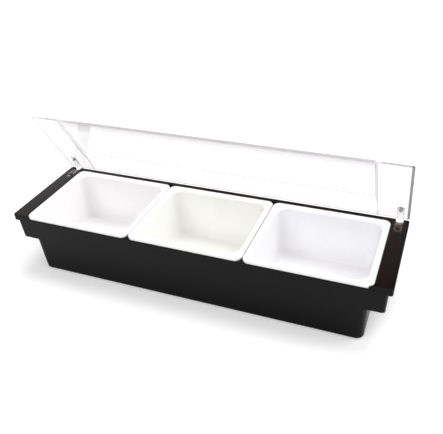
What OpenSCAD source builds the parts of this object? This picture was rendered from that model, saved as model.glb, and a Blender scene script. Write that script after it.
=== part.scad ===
// Bar-top condiment caddy: a black housing that carries three lift-out trays under one clear
// hinged lid. Millimetres, +Z up. The origin is on the table under the middle of the housing,
// +X runs to the right and -Y faces the person who serves from it. The lid is drawn standing
// open at lid_angle; closed is that angle turned back to zero.

/* [Housing] */
// Length of the rim from end to end
body_l = 500; // [470:1:540]
// Depth of the rim from front to back
body_w = 141; // [138:0.5:150]
// Height of the rim above the table
body_h = 89; // [84:0.5:100]
// Wall of the moulded housing
wall_t = 3; // [2.4:0.1:3.4]
// Height of the lip round the end flanges
lip_h = 8.9; // [8.5:0.1:10]
// How far the end flange overhangs its skirt
skirt_inset = 5; // [4:0.5:5.5]
// Depth of the skirt below the rim
skirt_drop = 36.7; // [32:0.1:42]
// Radius of the rim corners in plan
rim_r = 3; // [1:0.5:4]

/* [Trays] */
// Number of trays side by side
tray_count = 3; // [3:1:3]
// Width of the end flange outside the trays
end_flange_w = 20.7; // [20.5:0.1:24]
// Width of the rim left behind the trays
rear_rim_w = 6.5; // [6:0.1:7.5]
// Gap between neighbouring tray rims
tray_gap = 0.8; // [0.4:0.1:1.5]
// Thickness of a tray rim
tray_rim_t = 3.6; // [3:0.1:4]
// Width of a tray rim
tray_rim_w = 8.4; // [8:0.1:9]
// Wall of a tray
tray_t = 2.2; // [1.6:0.1:2.4]
// Height of the underside of a tray above the table
tray_floor_z = 17; // [14:0.5:24]
// Radius of the outer corners of a tray rim
tray_r = 8.5; // [6:0.5:10]

/* [Lid] */
// Angle at which the lid stands open
lid_angle = 59.3; // [0:0.1:105]
// Length of the lid
lid_l = 499.4; // [466:0.1:520]
// Front edge of the closed lid, behind the front of the rim
lid_front_gap = 7; // [6.5:0.1:7.5]
// Thickness of the clear sheet
lid_t = 2.6; // [2:0.1:3]
// Height of the dome at its crease
dome_h = 6.8; // [6:0.1:8]
// Height of the dome at its front edge
dome_front_h = 4.6; // [4:0.1:6]
// Setback of the dome's crease from the back edge of the lid
crease_setback = 38.9; // [34:0.1:44]
// Distance of the dome's end walls from the middle, at the foot
dome_half_l = 210.4; // [190:0.1:212]
// Lean of the dome's end walls between foot and top
dome_lean = 1; // [0.5:0.1:1.5]

/* [Hinges] */
// Distance of each hinge from the middle
hinge_x = 238; // [237:0.1:238]
// Setback of the hinge axis from the back of the rim
axis_setback = 4.5; // [4.4:0.1:4.6]
// Depth of the hinge axis below the rim
axis_drop = 7.7; // [7.6:0.1:7.8]
// Width of the notch that holds the knuckles
notch_w = 9; // [9:0.1:9.2]
// Radius of the hinge pin
pin_r = 1.25; // [1.2:0.05:1.3]
// Thickness of the hinge leaves
leaf_t = 2; // [1.8:0.1:2.1]
// Setback of the bracket screw from the back of the rim
screw_setback = 21.7; // [20:0.1:23]
// Setback of the arm rivet from the back of the rim, lid closed
rivet_setback = 28; // [26:0.5:29]

/* [Hidden] */
$fn = 64;
corner_fn = 32;
eps = 0.01;

black = [0.11, 0.105, 0.105];
white = [0.93, 0.93, 0.94];
clear = [0.85, 0.9, 0.93, 0.35];
steel = [0.35, 0.35, 0.36];

back_y = body_w / 2;
front_y = -body_w / 2;
lip_z = body_h - lip_h;
skirt_z = body_h - skirt_drop;

// The tub tapers towards the table.
tub_draft = 5.9;
tub_foot_y = back_y - tub_draft;
tub_foot_x = body_l / 2 - 27;
tub_top_x = body_l / 2 - 23.4;
tub_r = 9;
foot_r = 3;
skirt_lean = 1;
skirt_r = 4;

// Seat of the tray rims, sunk in the top of the housing and open to the front.
ledge_z = body_h - tray_rim_t;
seat_x = body_l / 2 - end_flange_w;
seat_back_y = back_y - rear_rim_w;
seat_clear = 0.4;
mouth_x = seat_x - 5.5;
mouth_back_y = seat_back_y - 4.3;
mouth_front_y = front_y + 5;

// Space for the fingers under each end flange.
grip_in_x = body_l / 2 - 22.7;
grip_out_x = body_l / 2 - skirt_inset - wall_t;
grip_roof_z = body_h - 7.5;
grip_back_y = back_y - 14.5;
hinge_boss_z = body_h - 15.5;

// Trays.
tray_pitch = (2 * seat_x - seat_clear) / tray_count;
tray_l = tray_pitch - tray_gap;
tray_back_y = seat_back_y - seat_clear;
tray_mid_y = (front_y + tray_back_y) / 2;
tray_w = tray_back_y - front_y;
tray_in_l = tray_l - 2 * tray_rim_w;
tray_in_w = tray_w - 2 * tray_rim_w;
tray_draft = 7;
tray_floor_t = 2.5;
tray_in_r = 15;

// Hinges. The axis lies in the notch, below the rim and in front of its back edge.
axis_y = back_y - axis_setback;
axis_z = body_h - axis_drop;
notch_front_y = back_y - 9.5;
notch_floor_z = body_h - 12.6;
leaf_w = notch_w - 0.4;
tab_recess_t = leaf_t + 0.2;
screw_y = back_y - screw_setback;
screw_r = 1.5;
screw_head_r = 3;
rivet_y = back_y - rivet_setback;
rivet_r = 1.5;
rivet_head_r = 2.6;
knuckle_r = 3;
cheek_t = 2.1;
arm_w = leaf_w - 2 * cheek_t - 0.6;
pin_play = 0.07;

// Lid, in its closed place.
lid_z = body_h + 0.3;
lid_back_y = axis_y - 4.8;
lid_front_y = front_y + lid_front_gap;
lid_w = lid_back_y - lid_front_y;
lid_r = 3;

// A plate with rounded corners in plan, from x0 to x1 and y0 to y1.
module rounded_plate(x0, x1, y0, y1, z0, z1, r) {
  translate([x0 + r, y0, z0]) cube([x1 - x0 - 2 * r, y1 - y0, z1 - z0]);
  translate([x0, y0 + r, z0]) cube([x1 - x0, y1 - y0 - 2 * r, z1 - z0]);
  for (x = [x0 + r, x1 - r], y = [y0 + r, y1 - r])
    translate([x, y, z0]) cylinder(r = r, h = z1 - z0);
}

// Four thin discs at the corners of a rectangle, to be hulled with others.
module corner_discs(half_l, y0, y1, z, r) {
  for (x = [-half_l + r, half_l - r], y = [y0 + r, y1 - r])
    translate([x, y, z]) cylinder(r = r, h = eps, $fn = corner_fn);
}

// Half depth of the tub's outside at height z.
function tub_y(z) = tub_foot_y + tub_draft * z / body_h;

// Half length of the tub's outside at height z.
function tub_x(z) = tub_foot_x + (tub_top_x - tub_foot_x) * z / body_h;

// Mirrors its children to both ends of the caddy.
module both_ends() {
  children();
  mirror([1, 0, 0]) children();
}

// Carries its children from the lid's closed place to the angle it stands at.
module lid_place() {
  translate([0, axis_y, axis_z])
    rotate([-lid_angle, 0, 0])
      translate([0, -axis_y, -axis_z])
        children();
}

// Outside of the housing: tapered tub, skirts and the lipped rim.
module housing_shape() {
  hull() {
    corner_discs(tub_x(0) - foot_r, -tub_y(0) + foot_r, tub_y(0) - foot_r, 0, tub_r);
    corner_discs(tub_x(foot_r), -tub_y(foot_r), tub_y(foot_r), foot_r, tub_r);
    corner_discs(tub_x(lip_z), -tub_y(lip_z), tub_y(lip_z), lip_z, tub_r);
  }
  hull() {
    corner_discs(body_l / 2 - skirt_inset - skirt_lean, -tub_y(skirt_z), tub_y(skirt_z), skirt_z, skirt_r);
    corner_discs(body_l / 2 - skirt_inset, -tub_y(lip_z), tub_y(lip_z), lip_z, skirt_r);
  }
  rounded_plate(-body_l / 2, body_l / 2, front_y, back_y, lip_z, body_h, rim_r);
}

// Inside of the tub, down to its floor.
module tub_inside() {
  hull() {
    corner_discs(tub_x(wall_t) - wall_t, -tub_y(wall_t) + wall_t, tub_y(wall_t) - wall_t, wall_t,
      tub_r - wall_t);
    corner_discs(tub_x(lip_z) - wall_t, -tub_y(lip_z) + wall_t, tub_y(lip_z) - wall_t, lip_z,
      tub_r - wall_t);
  }
  rounded_plate(-mouth_x, mouth_x, mouth_front_y, mouth_back_y, lip_z - eps, body_h, tray_r - 2);
}

// Recess that takes the tray rims; it breaks out through the front wall.
module tray_seat() {
  rounded_plate(-seat_x, seat_x, front_y - seat_clear, seat_back_y, ledge_z, body_h + 1, tray_r);
}

// Hollow under the right end flange, open downwards.
module grip_space() {
  low_y = tub_y(skirt_z) - wall_t;
  translate([grip_in_x, -low_y, skirt_z - 1])
    cube([grip_out_x - grip_in_x, 2 * low_y, hinge_boss_z - skirt_z + 1]);
  translate([grip_in_x, -low_y, skirt_z])
    cube([grip_out_x - grip_in_x, low_y + grip_back_y, grip_roof_z - skirt_z]);
}

// Notch for the right hinge's knuckles, the sunk seat of its bracket and the screw hole.
module hinge_seat() {
  translate([hinge_x - notch_w / 2, notch_front_y, notch_floor_z])
    cube([notch_w, back_y - notch_front_y + 1, body_h - notch_floor_z + 1]);
  tab_shape(notch_w, tab_recess_t + 1, body_h - tab_recess_t, notch_front_y + eps, screw_setback + 7.5);
  translate([hinge_x, screw_y, grip_roof_z - 1]) cylinder(r = screw_r, h = lip_h);
}

// Tongue with one round end, reaching forward from y_back to setback behind the rim's back.
module tab_shape(w, t, z, y_back, setback) {
  round_y = back_y - setback + w / 2;
  translate([hinge_x - w / 2, round_y, z]) cube([w, y_back - round_y, t]);
  translate([hinge_x, round_y, z]) cylinder(d = w, h = t);
}

// Round bar along X through the hinge axis, centred on the right hinge.
module on_axis(r, l) {
  translate([hinge_x - l / 2, axis_y, axis_z]) rotate([0, 90, 0]) cylinder(r = r, h = l);
}

module housing() {
  color(black) difference() {
    housing_shape();
    tub_inside();
    tray_seat();
    both_ends() grip_space();
    both_ends() hinge_seat();
  }
}

// A lift-out tray: a flat rim and a tapered well with well-rounded corners.
module tray(i) {
  x_mid = (i - (tray_count - 1) / 2) * tray_pitch;
  top_x = tray_in_l / 2;
  top_y = tray_in_w / 2;
  low_x = top_x - tray_draft;
  low_y = top_y - tray_draft;
  in_z = tray_floor_z + tray_floor_t;
  soft = 6;
  color(white) translate([x_mid, tray_mid_y, 0]) difference() {
    union() {
      rounded_plate(-tray_l / 2, tray_l / 2, -tray_w / 2, tray_w / 2, ledge_z, body_h, tray_r);
      hull() {
        corner_discs(low_x + tray_t - soft, -low_y - tray_t + soft, low_y + tray_t - soft,
          tray_floor_z, tray_in_r);
        corner_discs(low_x + tray_t, -low_y - tray_t, low_y + tray_t, tray_floor_z + soft, tray_in_r);
        corner_discs(top_x + tray_t, -top_y - tray_t, top_y + tray_t, ledge_z + 1, tray_in_r);
      }
    }
    hull() {
      corner_discs(low_x - soft, -low_y + soft, low_y - soft, in_z, tray_in_r);
      corner_discs(low_x, -low_y, low_y, in_z + soft, tray_in_r);
      corner_discs(top_x, -top_y, top_y, body_h, tray_in_r);
    }
  }
}

module tray_left() {
  tray(0);
}

module tray_middle() {
  tray(1);
}

module tray_right() {
  tray(2);
}

// Side profile of the dome: a gentle rise from the back edge to the crease, then a nearly flat
// panel to the front edge.
// Inset by t it gives the hollow inside, which is open downwards.
module dome_profile(t) {
  slope = (dome_h - dome_front_h) / (lid_w - crease_setback);
  drop = t * sqrt(1 + slope * slope);
  polygon([
    [t, -t],
    [t, lid_t - t],
    [crease_setback + t / 2, dome_h - drop - slope * t / 2],
    [lid_w - t, dome_front_h - drop + slope * t],
    [lid_w - t, -t]
  ]);
}

// Solid dome, with leaning end walls, inset by t all round.
module dome_solid(t) {
  top_l = dome_half_l - dome_lean;
  intersection() {
    translate([dome_half_l, lid_back_y, lid_z])
      rotate([0, 0, -90]) rotate([90, 0, 0])
        linear_extrude(2 * dome_half_l) dome_profile(t);
    translate([0, lid_back_y + 1, lid_z]) rotate([90, 0, 0])
      linear_extrude(lid_w + 2)
        polygon([
          [-dome_half_l + t, -t - 1],
          [-dome_half_l + t, 0],
          [-top_l + t, dome_h],
          [top_l - t, dome_h],
          [dome_half_l - t, 0],
          [dome_half_l - t, -t - 1]
        ]);
  }
}

// The clear lid: flat end flanges with the dome between them.
module lid() {
  color(clear) lid_place() difference() {
    union() {
      rounded_plate(-lid_l / 2, lid_l / 2, lid_front_y, lid_back_y, lid_z, lid_z + lid_t, lid_r);
      dome_solid(0);
    }
    dome_solid(lid_t);
    both_ends() translate([hinge_x, rivet_y, lid_z - 1]) cylinder(r = rivet_r, h = lid_t + 2);
  }
}

// Bracket let into the right end of the rim: a screwed tab and two cheeks for the pin.
module hinge_bracket() {
  top_z = body_h - 0.1;
  web_y = notch_front_y + 0.2;
  color(clear) difference() {
    union() {
      tab_shape(leaf_w, leaf_t, top_z - leaf_t, web_y + 1, screw_setback + 7.2);
      translate([hinge_x - leaf_w / 2, web_y, notch_floor_z + 0.3])
        cube([leaf_w, 1.4, top_z - notch_floor_z - 0.3]);
      for (side = [-1, 1])
        translate([hinge_x + side * (leaf_w - cheek_t) / 2, 0, 0]) cheek(web_y, top_z);
    }
    on_axis(pin_r, notch_w);
    translate([hinge_x, screw_y, top_z - leaf_t - 1]) cylinder(r = screw_r, h = leaf_t + 2);
    translate([hinge_x, screw_y, top_z - screw_head_r + screw_r])
      cylinder(r1 = screw_r, r2 = screw_head_r, h = screw_head_r - screw_r);
  }
}

// One cheek of the bracket, rounded about the hinge axis.
module cheek(web_y, top_z) {
  cheek_r = 3.4;
  translate([-cheek_t / 2, axis_y, axis_z]) rotate([0, 90, 0]) cylinder(r = cheek_r, h = cheek_t);
  translate([-cheek_t / 2, web_y, axis_z - cheek_r]) cube([cheek_t, axis_y - web_y, 2 * cheek_r]);
  translate([-cheek_t / 2, web_y, axis_z]) cube([cheek_t, 3, top_z - axis_z]);
}

module hinge_bracket_right() {
  hinge_bracket();
}

module hinge_bracket_left() {
  mirror([1, 0, 0]) hinge_bracket();
}

// Countersunk screws that hold the brackets down, with a cross slot in the head.
module bracket_screws() {
  top_z = body_h - 0.1;
  slot_l = 3.2;
  slot_w = 0.8;
  color(steel) both_ends() translate([hinge_x, screw_y, 0]) difference() {
    union() {
      translate([0, 0, grip_roof_z + 0.5]) cylinder(r = screw_r, h = top_z - grip_roof_z - 0.5);
      translate([0, 0, top_z - screw_head_r + screw_r])
        cylinder(r1 = screw_r, r2 = screw_head_r, h = screw_head_r - screw_r);
    }
    for (turn = [0, 90])
      translate([0, 0, top_z]) rotate([0, 0, turn]) cube([slot_l, slot_w, 1.6], center = true);
  }
}

module hinge_pin_right() {
  color(steel) on_axis(pin_r, leaf_w);
}

module hinge_pin_left() {
  color(steel) mirror([1, 0, 0]) on_axis(pin_r, leaf_w);
}

// Arm riveted to the outside of the lid and cranked down to its knuckle, lid closed.
module hinge_arm() {
  leaf_z = lid_z + lid_t;
  arm_y = axis_y - knuckle_r;
  color(clear) difference() {
    union() {
      tab_shape(leaf_w, leaf_t, leaf_z, lid_back_y, rivet_setback + 7);
      translate([hinge_x - arm_w / 2, lid_back_y - 1, leaf_z])
        cube([arm_w, axis_y + knuckle_r - lid_back_y + 1, leaf_t]);
      translate([hinge_x - arm_w / 2, arm_y, axis_z])
        cube([arm_w, 2 * knuckle_r, leaf_z + leaf_t - axis_z]);
      on_axis(knuckle_r, arm_w);
    }
    on_axis(pin_r + pin_play, notch_w);
    translate([hinge_x, rivet_y, leaf_z - 1]) cylinder(r = rivet_r, h = leaf_t + 2);
  }
}

module hinge_arm_right() {
  lid_place() hinge_arm();
}

module hinge_arm_left() {
  mirror([1, 0, 0]) lid_place() hinge_arm();
}

// Rivets through arm and lid, flush under the lid and domed on top.
module arm_rivets() {
  leaf_top_z = lid_z + lid_t + leaf_t;
  color(steel) lid_place() both_ends() translate([hinge_x, rivet_y, 0]) {
    translate([0, 0, lid_z]) cylinder(r = rivet_r, h = leaf_top_z - lid_z + 0.6);
    translate([0, 0, leaf_top_z]) cylinder(r = rivet_head_r, h = 0.6);
    translate([0, 0, leaf_top_z + 0.6]) cylinder(r1 = rivet_head_r, r2 = 1.4, h = 0.8);
  }
}

housing();
tray_left();
tray_middle();
tray_right();
lid();
hinge_bracket_left();
hinge_bracket_right();
bracket_screws();
hinge_pin_left();
hinge_pin_right();
hinge_arm_left();
hinge_arm_right();
arm_rivets();
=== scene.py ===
from math import radians

import bmesh
import bpy
from mathutils import Matrix, Vector


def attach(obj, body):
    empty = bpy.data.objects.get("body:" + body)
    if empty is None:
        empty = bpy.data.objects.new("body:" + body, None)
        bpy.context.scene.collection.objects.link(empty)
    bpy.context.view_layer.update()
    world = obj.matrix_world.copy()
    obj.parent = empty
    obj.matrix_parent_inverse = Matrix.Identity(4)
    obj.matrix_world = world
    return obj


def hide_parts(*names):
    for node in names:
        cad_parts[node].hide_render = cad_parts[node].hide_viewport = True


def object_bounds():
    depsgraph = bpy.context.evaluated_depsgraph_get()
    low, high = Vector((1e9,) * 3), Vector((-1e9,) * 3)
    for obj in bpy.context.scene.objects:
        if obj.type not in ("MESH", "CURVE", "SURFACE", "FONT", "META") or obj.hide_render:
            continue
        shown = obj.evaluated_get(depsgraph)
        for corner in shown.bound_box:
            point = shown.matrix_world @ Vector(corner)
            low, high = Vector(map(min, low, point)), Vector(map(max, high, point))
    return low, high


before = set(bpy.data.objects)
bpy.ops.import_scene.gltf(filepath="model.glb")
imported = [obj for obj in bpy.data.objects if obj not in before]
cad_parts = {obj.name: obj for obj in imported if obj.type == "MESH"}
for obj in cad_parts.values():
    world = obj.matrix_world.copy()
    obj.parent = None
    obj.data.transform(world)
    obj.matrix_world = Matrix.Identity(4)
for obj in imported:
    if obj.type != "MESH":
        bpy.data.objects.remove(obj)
solid_low, solid_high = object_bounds()
scene = bpy.context.scene


# ---------------------------------------------------------------------------
# Table, backdrop and light.
# A white sweep of paper under and behind the caddy, with wide soft lamps from
# above, from the front and from the right; it leaves a pale shadow in front.

def shader_node(nodes, kind, x, y, **sockets):
    made = nodes.new(kind)
    made.location = (x, y)
    for socket, value in sockets.items():
        made.inputs[socket.replace("_", " ")].default_value = value
    return made


def new_material(name):
    made = bpy.data.materials.new(name)
    made.use_nodes = True
    made.node_tree.nodes.clear()
    return made, made.node_tree.nodes, made.node_tree.links


def white_seen_directly(nodes, links, x, y):
    """1 for rays that show the background as it is, straight or through the clear lid."""
    rays = shader_node(nodes, "ShaderNodeLightPath", x, y)
    either = shader_node(nodes, "ShaderNodeMath", x + 180, y)
    either.operation = "MAXIMUM"
    links.new(rays.outputs["Is Camera Ray"], either.inputs[0])
    links.new(rays.outputs["Is Transmission Ray"], either.inputs[1])
    return either.outputs[0]


PAPER_WHITE = (0.90, 0.90, 0.90, 1)
paper, nodes, links = new_material("paper_sweep")
sheet_look = shader_node(nodes, "ShaderNodeBsdfDiffuse", 0, 0, Color=PAPER_WHITE)
fibre = shader_node(nodes, "ShaderNodeTexNoise", -600, -200, Scale=900.0, Detail=3.0)
fibre_place = shader_node(nodes, "ShaderNodeTexCoord", -800, -200)
fibre_bump = shader_node(nodes, "ShaderNodeBump", -300, -200, Strength=0.05, Distance=0.0001)
glow = shader_node(nodes, "ShaderNodeEmission", 0, -200, Color=(1, 1, 1, 1))
rays = shader_node(nodes, "ShaderNodeLightPath", -500, -450)
brightness = shader_node(nodes, "ShaderNodeMapRange", -250, -450, To_Min=0.26, To_Max=0.15)
links.new(rays.outputs["Is Transmission Ray"], brightness.inputs["Value"])
links.new(brightness.outputs["Result"], glow.inputs["Strength"])
both = shader_node(nodes, "ShaderNodeAddShader", 250, 0)
pick = shader_node(nodes, "ShaderNodeMixShader", 450, 0)
out = shader_node(nodes, "ShaderNodeOutputMaterial", 650, 0)
links.new(fibre_place.outputs["Object"], fibre.inputs["Vector"])
links.new(fibre.outputs["Fac"], fibre_bump.inputs["Height"])
links.new(fibre_bump.outputs["Normal"], sheet_look.inputs["Normal"])
links.new(sheet_look.outputs[0], both.inputs[0])
links.new(glow.outputs[0], both.inputs[1])
links.new(white_seen_directly(nodes, links, 0, 300), pick.inputs[0])
links.new(sheet_look.outputs[0], pick.inputs[1])
links.new(both.outputs[0], pick.inputs[2])
links.new(pick.outputs[0], out.inputs[0])

bm = bmesh.new()
bmesh.ops.create_grid(bm, x_segments=2, y_segments=2, size=12)
floor_mesh = bpy.data.meshes.new("paper_sweep")
bm.to_mesh(floor_mesh)
bm.free()
floor_mesh.materials.append(paper)
floor = bpy.data.objects.new("paper_sweep", floor_mesh)
scene.collection.objects.link(floor)

world = bpy.data.worlds.new("studio")
scene.world = world
world.use_nodes = True
nodes, links = world.node_tree.nodes, world.node_tree.links
nodes.clear()
rays = shader_node(nodes, "ShaderNodeLightPath", -700, 400)
mirrored = shader_node(nodes, "ShaderNodeMath", -400, 300)
mirrored.operation = "MAXIMUM"
links.new(rays.outputs["Is Glossy Ray"], mirrored.inputs[0])
links.new(rays.outputs["Is Transmission Ray"], mirrored.inputs[1])
direction = shader_node(nodes, "ShaderNodeTexCoord", -1100, -200)
height = shader_node(nodes, "ShaderNodeSeparateXYZ", -900, -200)
links.new(direction.outputs["Generated"], height.inputs[0])
sweep_top = shader_node(nodes, "ShaderNodeMapRange", -700, -200, From_Min=0.44, From_Max=0.66)
links.new(height.outputs["Z"], sweep_top.inputs["Value"])
sweep_to_room = shader_node(nodes, "ShaderNodeValToRGB", -500, -200)
links.new(sweep_top.outputs["Result"], sweep_to_room.inputs["Fac"])
stops = sweep_to_room.color_ramp.elements
stops[0].color = (1, 1, 1, 1)
stops[1].color = (0.20, 0.02, 0.005, 1)
stops.new(0.25).color = (0.66, 0.65, 0.65, 1)
stops.new(0.48).color = (0.55, 0.34, 0.27, 1)
stops.new(0.75).color = (0.35, 0.10, 0.05, 1)
dark_above = shader_node(nodes, "ShaderNodeMapRange", -700, -500,
                         From_Min=0.46, From_Max=0.57, To_Min=0.7, To_Max=0.3)
links.new(height.outputs["Z"], dark_above.inputs["Value"])
through_or_off = shader_node(nodes, "ShaderNodeMix", -200, -250)
through_or_off.data_type = "RGBA"
not_mirrored = shader_node(nodes, "ShaderNodeMath", -450, 150)
not_mirrored.operation = "SUBTRACT"
not_mirrored.use_clamp = True
links.new(rays.outputs["Is Transmission Ray"], not_mirrored.inputs[0])
links.new(rays.outputs["Glossy Depth"], not_mirrored.inputs[1])
links.new(not_mirrored.outputs[0], through_or_off.inputs[0])
links.new(sweep_to_room.outputs["Color"], through_or_off.inputs[6])
links.new(dark_above.outputs["Result"], through_or_off.inputs[7])
seen_in_gloss = shader_node(nodes, "ShaderNodeBackground", 0, -150, Strength=1.5)
links.new(through_or_off.outputs[2], seen_in_gloss.inputs["Color"])
fill = shader_node(nodes, "ShaderNodeBackground", 0, 0, Color=(1, 1, 1, 1), Strength=0.39)
backdrop = shader_node(nodes, "ShaderNodeBackground", 0, -300, Color=(1, 1, 1, 1), Strength=1.05)
lit_or_mirrored = shader_node(nodes, "ShaderNodeMixShader", 250, 0)
pick = shader_node(nodes, "ShaderNodeMixShader", 450, 0)
out = shader_node(nodes, "ShaderNodeOutputWorld", 650, 0)
links.new(mirrored.outputs[0], lit_or_mirrored.inputs[0])
links.new(fill.outputs[0], lit_or_mirrored.inputs[1])
links.new(seen_in_gloss.outputs[0], lit_or_mirrored.inputs[2])
links.new(rays.outputs["Is Camera Ray"], pick.inputs[0])
links.new(lit_or_mirrored.outputs[0], pick.inputs[1])
links.new(backdrop.outputs[0], pick.inputs[2])
links.new(pick.outputs[0], out.inputs[0])


def far_softbox(name, comes_from, spread, strength):
    """A large soft source far off, so that the paper is lit evenly all round the caddy."""
    data = bpy.data.lights.new(name, "SUN")
    data.angle = radians(spread)
    data.energy = strength
    lamp = bpy.data.objects.new(name, data)
    lamp.location = comes_from
    lamp.rotation_euler = Vector(comes_from).to_track_quat("Z", "Y").to_euler()
    scene.collection.objects.link(lamp)


far_softbox("overhead_back", (0.10, 0.38, 1.15), 30, 1.32)
far_softbox("front_fill", (-0.25, -0.75, 0.55), 40, 1.10)
far_softbox("right_side", (1.0, 0.30, 0.66), 60, 1.42)

scene.cycles.max_bounces = 16
scene.cycles.diffuse_bounces = 8
scene.cycles.transmission_bounces = 14

camera_data = bpy.data.cameras.new("camera")
camera_data.sensor_width = 36
camera_data.lens = 46.98
camera_data.shift_x = 0.0016
camera_data.clip_start, camera_data.clip_end = 0.01, 60
camera = bpy.data.objects.new("camera", camera_data)
camera.location = (0.272525, -0.567012, 0.497948)
camera.rotation_euler = (radians(56.829), radians(2.821), radians(21.798))
scene.collection.objects.link(camera)
scene.camera = camera
scene.view_settings.view_transform = "Standard"


# ---------------------------------------------------------------------------
# Housing.
# One black ABS injection moulding: tapered tub, skirts and a lipped rim, with
# every outside edge slightly rounded by the tool and a fine satin grain.

def grain_group():
    """Fine moulded grain: Height for a bump and a slow Blotch between 0 and 1."""
    group = bpy.data.node_groups.new("moulded_grain", "ShaderNodeTree")
    for name, scale in (("Fine", 2500.0), ("Slow", 9.0)):
        socket = group.interface.new_socket(name, in_out="INPUT", socket_type="NodeSocketFloat")
        socket.default_value = scale
    for name in ("Height", "Blotch", "Scuffs"):
        group.interface.new_socket(name, in_out="OUTPUT", socket_type="NodeSocketFloat")
    nodes, links = group.nodes, group.links
    given = nodes.new("NodeGroupInput")
    given.location = (-900, 0)
    made = nodes.new("NodeGroupOutput")
    made.location = (500, 0)
    place = shader_node(nodes, "ShaderNodeTexCoord", -900, -250)
    fine = shader_node(nodes, "ShaderNodeTexNoise", -600, 200, Detail=2.0)
    slow = shader_node(nodes, "ShaderNodeTexNoise", -600, -100, Detail=4.0, Roughness=0.6)
    along = shader_node(nodes, "ShaderNodeMapping", -750, -450)
    along.inputs["Scale"].default_value = (40, 420, 420)
    along.inputs["Rotation"].default_value = (0.1, 0.15, 0.35)
    lines = shader_node(nodes, "ShaderNodeTexNoise", -550, -450, Scale=1.0, Detail=3.0)
    thin = shader_node(nodes, "ShaderNodeMapRange", -300, -450, From_Min=0.60, From_Max=0.74)
    links.new(place.outputs["Object"], fine.inputs["Vector"])
    links.new(place.outputs["Object"], slow.inputs["Vector"])
    links.new(place.outputs["Object"], along.inputs["Vector"])
    links.new(along.outputs[0], lines.inputs["Vector"])
    links.new(given.outputs["Fine"], fine.inputs["Scale"])
    links.new(given.outputs["Slow"], slow.inputs["Scale"])
    links.new(lines.outputs["Fac"], thin.inputs["Value"])
    links.new(fine.outputs["Fac"], made.inputs["Height"])
    links.new(slow.outputs["Fac"], made.inputs["Blotch"])
    links.new(thin.outputs["Result"], made.inputs["Scuffs"])
    return group


moulded_grain = grain_group()


def grained(nodes, links, shader, fine, slow, strength, distance):
    """Gives a shader the grain's fine bump, and hands the grain back for its other uses."""
    grain = shader_node(nodes, "ShaderNodeGroup", -900, 0)
    grain.node_tree = moulded_grain
    grain.inputs["Fine"].default_value = fine
    grain.inputs["Slow"].default_value = slow
    bump = shader_node(nodes, "ShaderNodeBump", -300, -300, Strength=strength, Distance=distance)
    links.new(grain.outputs["Height"], bump.inputs["Height"])
    links.new(bump.outputs["Normal"], shader.inputs["Normal"])
    return grain


def between(nodes, links, source, low, high, x, y):
    """Carries a 0 to 1 value onto a plain range, for a roughness."""
    made = shader_node(nodes, "ShaderNodeMapRange", x, y, To_Min=low, To_Max=high)
    links.new(source, made.inputs["Value"])
    return made.outputs["Result"]


def mottled(nodes, links, source, first, second, x, y):
    """Drifts between two close colours."""
    made = shader_node(nodes, "ShaderNodeMix", x, y)
    made.data_type = "RGBA"
    made.inputs[6].default_value = first
    made.inputs[7].default_value = second
    links.new(source, made.inputs[0])
    return made.outputs[2]


black_abs, nodes, links = new_material("black_abs")
plastic = shader_node(nodes, "ShaderNodeBsdfPrincipled", 0, 0, IOR=1.5)
plastic.inputs["Specular IOR Level"].default_value = 0.14
grain = grained(nodes, links, plastic, 2600, 14, 0.25, 0.00004)
out = shader_node(nodes, "ShaderNodeOutputMaterial", 300, 0)
tone = mottled(nodes, links, grain.outputs["Blotch"],
               (0.0010, 0.0010, 0.0010, 1), (0.0020, 0.0019, 0.0020, 1), -500, 200)
rough = between(nodes, links, grain.outputs["Blotch"], 0.19, 0.26, -600, -50)
links.new(tone, plastic.inputs["Base Color"])
links.new(rough, plastic.inputs["Roughness"])
links.new(plastic.outputs[0], out.inputs[0])


def finished(name, bm, body, material, stands_for):
    """Turns a bmesh into a piece that rides on its body and stands for its CAD node."""
    mesh = bpy.data.meshes.new(name)
    bm.to_mesh(mesh)
    bm.free()
    mesh.materials.append(material)
    mesh.shade_smooth()
    mesh.set_sharp_from_angle(angle=radians(38))
    piece = bpy.data.objects.new(name, mesh)
    scene.collection.objects.link(piece)
    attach(piece, body)
    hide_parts(stands_for)
    shading = piece.modifiers.new("flat_faces_stay_flat", "WEIGHTED_NORMAL")
    shading.keep_sharp = True
    return piece


def copy_of_node(node):
    """The CAD node's shape as one joined skin, flat areas made whole."""
    bm = bmesh.new()
    bm.from_mesh(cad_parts[node].data)
    bmesh.ops.remove_doubles(bm, verts=bm.verts, dist=2e-5)
    bmesh.ops.dissolve_degenerate(bm, dist=3e-5, edges=bm.edges)
    bmesh.ops.dissolve_limit(bm, angle_limit=radians(0.4), verts=bm.verts, edges=bm.edges)
    return bm


def rounded(bm, edges, radius, steps):
    """Rounds these edges and gives back the new faces."""
    return bmesh.ops.bevel(bm, geom=edges, offset=radius, offset_type="OFFSET", affect="EDGES",
                           segments=steps, profile=0.5, material=-1, clamp_overlap=False)["faces"]


def round_edges(bm, radius, steps, chosen=lambda edge: edge.is_convex, least=32):
    """The small radius that the tool leaves on sharp edges."""
    sharp = [edge for edge in bm.edges
             if edge.is_manifold and edge.calc_face_angle() > radians(least) and chosen(edge)]
    return rounded(bm, sharp, radius, steps)


bm = copy_of_node("housing")
round_edges(bm, 0.0007, 3)
# The rounding runs a hair past the front face where the tray seat breaks through it.
for vert in bm.verts:
    vert.co.y = max(vert.co.y, solid_low[1])
finished("housing_shell", bm, "base_assembly", black_abs, "housing")


# ---------------------------------------------------------------------------
# Trays.
# Three like white polypropylene mouldings that hang by a flat rim in the mouth
# of the housing; tapered wells with large corner radii, glossy inside.

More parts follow.
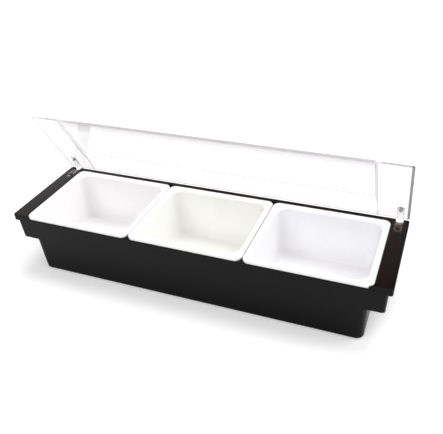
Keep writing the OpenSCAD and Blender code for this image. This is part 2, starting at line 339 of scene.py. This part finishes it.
TRAY_TOP, TRAY_LEDGE, TRAY_FLOOR = 0.089, 0.0854, 0.0195
TRAY_HALF_X, TRAY_HALF_Y, TRAY_MID_Y = 0.075967, 0.06705, -0.00345
WELL_HALF_X, WELL_HALF_Y, WELL_DRAFT = 0.067567, 0.05865, 0.007
WELL_CORNER, FOOT_ROUND, LIP_CORNER, LIP_EDGE, MOUTH_ROLL = 0.015, 0.008, 0.0085, 0.0013, 0.0034
HAIR = 0.0001


def upright_box(bm, half_x, half_y, low, high):
    """A square-cornered blank for a well or a lip, about the middle of the trays."""
    made = bmesh.ops.create_cube(bm, size=1)["verts"]
    bmesh.ops.scale(bm, vec=(2 * half_x, 2 * half_y, high - low), verts=made)
    bmesh.ops.translate(bm, vec=(0, TRAY_MID_Y, (low + high) / 2), verts=made)
    return made


def upright_edges(edges):
    return [edge for edge in edges if abs(edge.verts[0].co.z - edge.verts[1].co.z) > 0.003]


def tray_shape(mid_x):
    bm = bmesh.new()
    well = upright_box(bm, WELL_HALF_X, WELL_HALF_Y, TRAY_FLOOR, TRAY_TOP)
    low = [vert for vert in well if vert.co.z < TRAY_FLOOR + HAIR]
    taper = ((WELL_HALF_X - WELL_DRAFT) / WELL_HALF_X, (WELL_HALF_Y - WELL_DRAFT) / WELL_HALF_Y, 1)
    bmesh.ops.scale(bm, vec=taper, verts=low, space=Matrix.Translation((0, -TRAY_MID_Y, 0)))
    cover = [face for face in bm.faces if face.calc_center_median().z > TRAY_TOP - HAIR]
    bmesh.ops.delete(bm, geom=cover, context="FACES_ONLY")
    rounded(bm, upright_edges(bm.edges), WELL_CORNER, 9)
    foot = [edge for edge in bm.edges if all(vert.co.z < TRAY_FLOOR + HAIR for vert in edge.verts)]
    rounded(bm, foot, FOOT_ROUND, 6)
    bmesh.ops.reverse_faces(bm, faces=bm.faces)
    well_faces = set(bm.faces)
    upright_box(bm, TRAY_HALF_X, TRAY_HALF_Y, TRAY_LEDGE, TRAY_TOP)
    flat = [face for face in bm.faces if face not in well_faces and abs(face.normal.z) > 0.9]
    bmesh.ops.delete(bm, geom=flat, context="FACES_ONLY")
    lip = [face for face in bm.faces if face not in well_faces]
    rounded(bm, upright_edges({edge for face in lip for edge in face.edges}), LIP_CORNER, 9)

    def at_top(edge):
        return all(vert.co.z > TRAY_TOP - HAIR for vert in edge.verts)

    mouths = [edge for edge in bm.edges if edge.is_boundary and at_top(edge)]
    bmesh.ops.bridge_loops(bm, edges=mouths)
    bmesh.ops.recalc_face_normals(bm, faces=bm.faces)
    top = [face for face in bm.faces
           if abs(face.normal.z) > 0.9 and face.calc_center_median().z > TRAY_TOP - HAIR]
    if top[0].normal.z < 0:
        bmesh.ops.reverse_faces(bm, faces=bm.faces)

    def at_mouth(vert):
        return (abs(vert.co.x) < WELL_HALF_X + 0.001
                and abs(vert.co.y - TRAY_MID_Y) < WELL_HALF_Y + 0.001)

    rim = [edge for edge in bm.edges
           if not edge.is_boundary and at_top(edge) and edge.calc_face_angle() > radians(40)]
    inner = [edge for edge in rim if all(at_mouth(vert) for vert in edge.verts)]
    rounded(bm, [edge for edge in rim if edge not in inner], LIP_EDGE, 4)
    rounded(bm, [edge for edge in inner if edge.is_valid], MOUTH_ROLL, 6)
    bmesh.ops.translate(bm, vec=(mid_x, 0, 0), verts=bm.verts)
    return bm


def white_plastic(name, first, second):
    """White polypropylene; each tray is given a slightly different white."""
    made, nodes, links = new_material(name)
    plastic = shader_node(nodes, "ShaderNodeBsdfPrincipled", 0, 0, IOR=1.49)
    grain = grained(nodes, links, plastic, 700, 11, 0.15, 0.00003)
    out = shader_node(nodes, "ShaderNodeOutputMaterial", 300, 0)
    tone = mottled(nodes, links, grain.outputs["Blotch"], first, second, -500, 200)
    rough = between(nodes, links, grain.outputs["Blotch"], 0.18, 0.26, -600, -50)
    links.new(tone, plastic.inputs["Base Color"])
    links.new(rough, plastic.inputs["Roughness"])
    links.new(plastic.outputs[0], out.inputs[0])
    return made


TRAY_PITCH, TRAY_WALL = 0.152733, 0.0022
for number, side, first, second in (
        (-1, "left", (0.905, 0.895, 0.90, 1), (0.925, 0.915, 0.92, 1)),
        (0, "middle", (0.90, 0.90, 0.88, 1), (0.92, 0.92, 0.90, 1)),
        (1, "right", (0.89, 0.89, 0.91, 1), (0.91, 0.91, 0.93, 1))):
    moulding = tray_shape(number * TRAY_PITCH)
    tray = finished(f"tray_{side}_moulding", moulding, "base_assembly",
                    white_plastic(f"white_pp_{side}", first, second), f"tray_{side}")
    wall = tray.modifiers.new("wall", "SOLIDIFY")
    wall.thickness = TRAY_WALL
    wall.offset = -1
    wall.use_even_offset = True
    tray.modifiers.move(1, 0)


# ---------------------------------------------------------------------------
# Lid.
# One sheet of clear acrylic, heat-formed with a low raised panel that is creased
# in front of the hinges and a flat flange all round. Painted shade: a grey band
# beside the front bend, greyer bends, crease and cut edges, and a dark grey band at its sawn right
# end; painted light: nearly white end bends.

HINGE_AXIS = Vector((0, 0.066, 0.0813))
STANDS_OPEN = radians(59.3)
LID_SHUT_Z, LID_FRONT_Y, LID_BACK_Y, LID_HALF_X = 0.0893, -0.0635, 0.0612, 0.2497
SHEET, CREASE_Y, CORNER_ZONE, PAINTED_SHADE_END_BAND = 0.0026, 0.0223, 0.0035, 0.0032
END_BENDS_FROM_X, END_WALL_X, END_FLANGE_X = 0.203, (0.2055, 0.2115), (0.2085, 0.2105)
RIGHT_END_PAINTED_SHADE, BENDS_AND_CUT_PAINTED_SHADE, END_BENDS_PAINTED_LIGHT, CREASE_PAINTED_SHADE = 1, 2, 3, 4


def swing(bm, angle):
    """Turns a lid piece about the hinge; positive opens it."""
    bmesh.ops.rotate(bm, cent=HINGE_AXIS, matrix=Matrix.Rotation(-angle, 3, "X"), verts=bm.verts)


def clear_sheet(name, colour, clearness, low, high):
    """Clear plastic, finely scuffed; light that casts shadows or bounces goes straight through."""
    made, nodes, links = new_material(name)
    glass = shader_node(nodes, "ShaderNodeBsdfPrincipled", 0, 0, Base_Color=colour, IOR=1.49,
                        Transmission_Weight=clearness)
    grain = grained(nodes, links, glass, 30, 9, 0.05, 0.0002)
    lets_light_by = shader_node(nodes, "ShaderNodeBsdfTransparent", 0, -450,
                                Color=(0.985, 0.985, 0.985, 1))
    rays = shader_node(nodes, "ShaderNodeLightPath", -200, 450)
    lighting = shader_node(nodes, "ShaderNodeMath", 0, 300)
    lighting.operation = "MAXIMUM"
    pick = shader_node(nodes, "ShaderNodeMixShader", 300, 0)
    out = shader_node(nodes, "ShaderNodeOutputMaterial", 500, 0)
    rough = between(nodes, links, grain.outputs["Scuffs"], low, high, -600, -50)
    links.new(rough, glass.inputs["Roughness"])
    links.new(rays.outputs["Is Shadow Ray"], lighting.inputs[0])
    links.new(rays.outputs["Is Diffuse Ray"], lighting.inputs[1])
    links.new(lighting.outputs[0], pick.inputs[0])
    links.new(glass.outputs[0], pick.inputs[1])
    links.new(lets_light_by.outputs[0], pick.inputs[2])
    links.new(pick.outputs[0], out.inputs[0])
    return made


clear_acrylic = clear_sheet("clear_acrylic", (0.99, 0.975, 0.99, 1), 1.0, 0.01, 0.05)
nodes, links = clear_acrylic.node_tree.nodes, clear_acrylic.node_tree.links
# Painted shade: the sheet's colour greys beside the front bend and fades out between 6 and 30 mm
# back from the front edge; the end flanges stay clear.
place = shader_node(nodes, "ShaderNodeTexCoord", -1300, 450)
front_edge = Vector((0, LID_FRONT_Y, LID_SHUT_Z)) - HINGE_AXIS
front_edge.rotate(Matrix.Rotation(-STANDS_OPEN, 3, "X"))
front_edge += HINGE_AXIS
from_edge = shader_node(nodes, "ShaderNodeVectorMath", -1100, 450)
from_edge.operation = "SUBTRACT"
from_edge.inputs[1].default_value = front_edge
links.new(place.outputs["Object"], from_edge.inputs[0])
set_back = shader_node(nodes, "ShaderNodeVectorMath", -900, 450)
set_back.operation = "DOT_PRODUCT"
set_back.inputs[1].default_value = Matrix.Rotation(-STANDS_OPEN, 3, "X") @ Vector((0, 1, 0))
links.new(from_edge.outputs[0], set_back.inputs[0])
painted_shade_fade = shader_node(nodes, "ShaderNodeMapRange", -700, 450, From_Min=0.006, From_Max=0.030)
links.new(set_back.outputs["Value"], painted_shade_fade.inputs["Value"])
painted_shade_front_band = shader_node(nodes, "ShaderNodeMix", -400, 450)
painted_shade_front_band.data_type = "RGBA"
painted_shade_front_band.inputs[6].default_value = (0.66, 0.65, 0.66, 1)
painted_shade_front_band.inputs[7].default_value = (0.99, 0.975, 0.99, 1)
across = shader_node(nodes, "ShaderNodeSeparateXYZ", -1100, 700)
links.new(place.outputs["Object"], across.inputs[0])
either_end = shader_node(nodes, "ShaderNodeMath", -900, 700)
either_end.operation = "ABSOLUTE"
links.new(across.outputs["X"], either_end.inputs[0])
end_flange = shader_node(nodes, "ShaderNodeMapRange", -700, 700,
                         From_Min=END_FLANGE_X[0], From_Max=END_FLANGE_X[1])
links.new(either_end.outputs[0], end_flange.inputs["Value"])
outside_painted_shade = shader_node(nodes, "ShaderNodeMath", -550, 600)
outside_painted_shade.operation = "MAXIMUM"
links.new(painted_shade_fade.outputs["Result"], outside_painted_shade.inputs[0])
links.new(end_flange.outputs["Result"], outside_painted_shade.inputs[1])
links.new(outside_painted_shade.outputs[0], painted_shade_front_band.inputs[0])
clear_body = [node for node in nodes if node.type == "BSDF_PRINCIPLED"][0]
links.new(painted_shade_front_band.outputs[2], clear_body.inputs["Base Color"])
# Painted shade: the right end band of the sheet is dark grey and only partly clear.
right_end_painted_shade = clear_sheet("acrylic_right_end_painted_shade", (0.36, 0.36, 0.365, 1), 0.7, 0.10, 0.20)
# Painted shade: the bends, the left end band and the cut edge all round are greyer and less clear
# than the sheet.
bends_and_cut_painted_shade = clear_sheet("acrylic_bends_and_cut_edge_painted_shade", (0.86, 0.85, 0.865, 1), 0.40, 0.20, 0.26)
# Painted light: the end bends and end walls are nearly opaque white, so that they read pale.
end_bends_painted_light = clear_sheet("acrylic_end_bends_painted_light", (0.99, 0.98, 0.99, 1), 0.10, 0.10, 0.20)
# Painted shade: the crease is drawn as a faint grey line.
crease_painted_shade = clear_sheet("acrylic_crease_painted_shade", (0.72, 0.71, 0.72, 1), 0.90, 0.10, 0.20)

bm = copy_of_node("lid")
swing(bm, -STANDS_OPEN)


def outer_bend(edge):
    """Where the raised panel turns down to its front and end walls, on the outside."""
    return edge.is_convex and all(vert.co.z > LID_SHUT_Z + SHEET + 2 * HAIR for vert in edge.verts)


def inner_bend(edge):
    """The same turn on the inside of the sheet."""
    middle = (edge.verts[0].co + edge.verts[1].co) / 2
    return not edge.is_convex and middle.z > LID_SHUT_Z + SHEET / 2 and middle.y < CREASE_Y + SHEET


def crease(edge):
    """The slight bend along the length, in front of the hinges."""
    return (abs(edge.verts[0].co.x - edge.verts[1].co.x) > LID_HALF_X
            and abs(edge.verts[0].co.y - CREASE_Y) < 0.004)


def sheet_edge(edge):
    """Corners of the sheet's own edge, all round the lid."""
    middle = (edge.verts[0].co + edge.verts[1].co) / 2
    between_edges = LID_FRONT_Y + 5 * HAIR < middle.y < LID_BACK_Y - 5 * HAIR
    near = abs(middle.x) > LID_HALF_X - CORNER_ZONE or not between_edges
    return near and middle.z < LID_SHUT_Z + SHEET + HAIR and edge.is_convex


# Rounds the bends; their faces take the bends' painted shade, or the painted light of the end
# bends.
for chosen, radius, steps in ((outer_bend, 0.0032, 6), (inner_bend, 0.0010, 4)):
    for face in round_edges(bm, radius, steps, chosen):
        at_end = abs(face.calc_center_median().x) > END_BENDS_FROM_X
        face.material_index = END_BENDS_PAINTED_LIGHT if at_end else BENDS_AND_CUT_PAINTED_SHADE
# The crease faces take the crease's painted shade.
for face in round_edges(bm, 0.0016, 3, crease, least=3):
    face.material_index = CREASE_PAINTED_SHADE
round_edges(bm, 0.0009, 3, sheet_edge)
round_edges(bm, 0.0003, 2)
# Cuts a narrow band at each end of the sheet for painted shade: dark grey at the right end, the
# bends' grey at the left.
for end in (-1, 1):
    bmesh.ops.bisect_plane(bm, geom=bm.verts[:] + bm.edges[:] + bm.faces[:], dist=1e-6,
                           plane_co=(end * (LID_HALF_X - PAINTED_SHADE_END_BAND), 0, 0), plane_no=(1, 0, 0))
bm.normal_update()
# Painted shade on the end bands and the cut edge all round, painted light on the end walls.
for face in bm.faces:
    centre = face.calc_center_median()
    if abs(centre.x) > LID_HALF_X - PAINTED_SHADE_END_BAND:
        face.material_index = RIGHT_END_PAINTED_SHADE if centre.x > 0 else BENDS_AND_CUT_PAINTED_SHADE
    elif (centre.z < LID_SHUT_Z + SHEET + HAIR
          and not LID_FRONT_Y + 10 * HAIR < centre.y < LID_BACK_Y - 10 * HAIR):
        face.material_index = BENDS_AND_CUT_PAINTED_SHADE
    elif END_WALL_X[0] < abs(centre.x) < END_WALL_X[1] and abs(face.normal.x) > 0.5:
        face.material_index = END_BENDS_PAINTED_LIGHT
swing(bm, STANDS_OPEN)
lid = finished("lid_sheet", bm, "lid_assembly", clear_acrylic, "lid")
for material in (right_end_painted_shade, bends_and_cut_painted_shade, end_bends_painted_light, crease_painted_shade):
    lid.data.materials.append(material)


# ---------------------------------------------------------------------------
# Hinges.
# Clear polycarbonate brackets let into the rim ends and arms riveted to the
# lid; steel pins, countersunk cross-slot screws and low-domed rivets.

clear_hinge = clear_sheet("clear_polycarbonate", (0.90, 0.90, 0.91, 1), 1.0, 0.04, 0.10)


def bare_steel(name, first, second, low, high):
    made, nodes, links = new_material(name)
    metal = shader_node(nodes, "ShaderNodeBsdfPrincipled", 0, 0, Metallic=1.0)
    grain = grained(nodes, links, metal, 3000, 300, 0.3, 0.00002)
    out = shader_node(nodes, "ShaderNodeOutputMaterial", 300, 0)
    tone = mottled(nodes, links, grain.outputs["Blotch"], first, second, -500, 200)
    rough = between(nodes, links, grain.outputs["Blotch"], low, high, -600, -50)
    links.new(tone, metal.inputs["Base Color"])
    links.new(rough, metal.inputs["Roughness"])
    links.new(metal.outputs[0], out.inputs[0])
    return made


black_steel = bare_steel("black_oxide_steel",
                         (0.012, 0.011, 0.011, 1), (0.025, 0.023, 0.022, 1), 0.30, 0.45)
dark_steel = bare_steel("dark_passivated_steel",
                        (0.10, 0.10, 0.105, 1), (0.16, 0.16, 0.165, 1), 0.30, 0.45)
bright_steel = bare_steel("stainless_rod", (0.50, 0.50, 0.50, 1), (0.58, 0.58, 0.58, 1), 0.18, 0.30)

for node, body, slot, material, radius in (
        ("hinge_bracket_left", "base_assembly", "hinge_clear", clear_hinge, 0.0003),
        ("hinge_bracket_right", "base_assembly", "hinge_clear", clear_hinge, 0.0003),
        ("hinge_arm_left", "lid_assembly", "hinge_clear", clear_hinge, 0.0003),
        ("hinge_arm_right", "lid_assembly", "hinge_clear", clear_hinge, 0.0003),
        ("hinge_pin_left", "base_assembly", "pin_steel", bright_steel, 0.0002),
        ("hinge_pin_right", "base_assembly", "pin_steel", bright_steel, 0.0002),
        ("bracket_screws", "base_assembly", "screw_steel", black_steel, 0.0001),
        ("arm_rivets", "lid_assembly", "rivet_steel", dark_steel, 0.0002)):
    bm = copy_of_node(node)
    round_edges(bm, radius, 2)
    finished(f"{node}_finish", bm, body, material, node)
